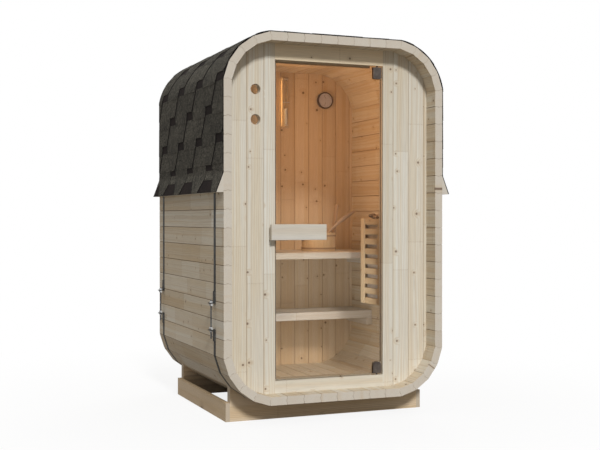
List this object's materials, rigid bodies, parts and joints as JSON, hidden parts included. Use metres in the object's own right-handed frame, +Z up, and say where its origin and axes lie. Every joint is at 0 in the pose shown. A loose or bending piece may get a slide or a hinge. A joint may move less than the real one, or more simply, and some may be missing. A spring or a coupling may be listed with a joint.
{
  "type": "square barrel garden sauna",
  "caption": "Garden sauna built as a square barrel of mitred pine staves on cradles, with a shingled roof, a glass door on pivots, benches and a guarded stove.",
  "frame": {"origin": "on the ground, under the middle of the barrel's length and width", "axes": "+X to the right seen from the door, +Y from the door end to the back, +Z up"},
  "size_m": [1.2822, 1.22, 1.9262],
  "materials": {
    "pine": "planed, untreated",
    "base_pine": "planed, a little greyed",
    "bench_wood": "planed smooth",
    "guard_wood": "planed smooth",
    "bucket_wood": "turned, smooth",
    "hinge_steel": "satin",
    "strap_steel": "galvanised",
    "stove_sheet": "brushed",
    "stones": "rough stone",
    "shingles": "mineral granules on bitumen",
    "door_glass": "bronze tint, clear",
    "dial_face": "matt face in a dark ring"
  },
  "bodies": {
    "cabin": {"barrel_top": "pine", "corner_top_right": "pine", "barrel_wall_right": "pine", "corner_bottom_right": "pine", "barrel_floor": "pine", "corner_bottom_left": "pine", "barrel_wall_left": "pine", "corner_top_left": "pine", "front_wall_left": "pine", "front_wall_right": "pine", "front_wall_header": "pine", "front_wall_sill": "pine", "back_wall": "pine", "door_stop_left": "pine", "door_stop_head": "pine", "door_threshold": "pine", "pivot_pin_bottom": "hinge_steel", "pivot_pin_top": "hinge_steel", "cradle_front": "base_pine", "cradle_rear": "base_pine", "base_rail_left": "base_pine", "base_rail_right": "base_pine", "strap_front": "strap_steel", "strap_rear": "strap_steel", "strap_lugs_front": "strap_steel", "strap_lugs_rear": "strap_steel", "strap_bolt_front": "strap_steel", "strap_bolt_rear": "strap_steel", "eave_batten_left": "pine", "eave_batten_right": "pine", "roof_shingles": "shingles", "bench_upper_slats": "bench_wood", "bench_upper_bearers": "bench_wood", "bench_lower_slats": "bench_wood", "bench_lower_bearers": "bench_wood", "stove_guard_side": "guard_wood", "stove_guard_rear": "guard_wood", "stove_body": "stove_sheet", "stove_stones": "stones", "bucket": "bucket_wood", "ladle": "bucket_wood", "dial": "dial_face", "sand_timer": "bench_wood"},
    "door": {"door_glass": "door_glass", "hinge_patch_bottom": "hinge_steel", "hinge_patch_top": "hinge_steel", "door_handle_outer": "pine", "door_handle_inner": "pine", "door_handle_standoffs": "hinge_steel"}
  },
  "joints": [
    {"name": "door_swing", "type": "hinge", "parent": "cabin", "child": "door", "pos_m": [0.2705, -0.503, 0.2], "axis": [0, 0, 1], "range_deg": [0, 110]}
  ]
}
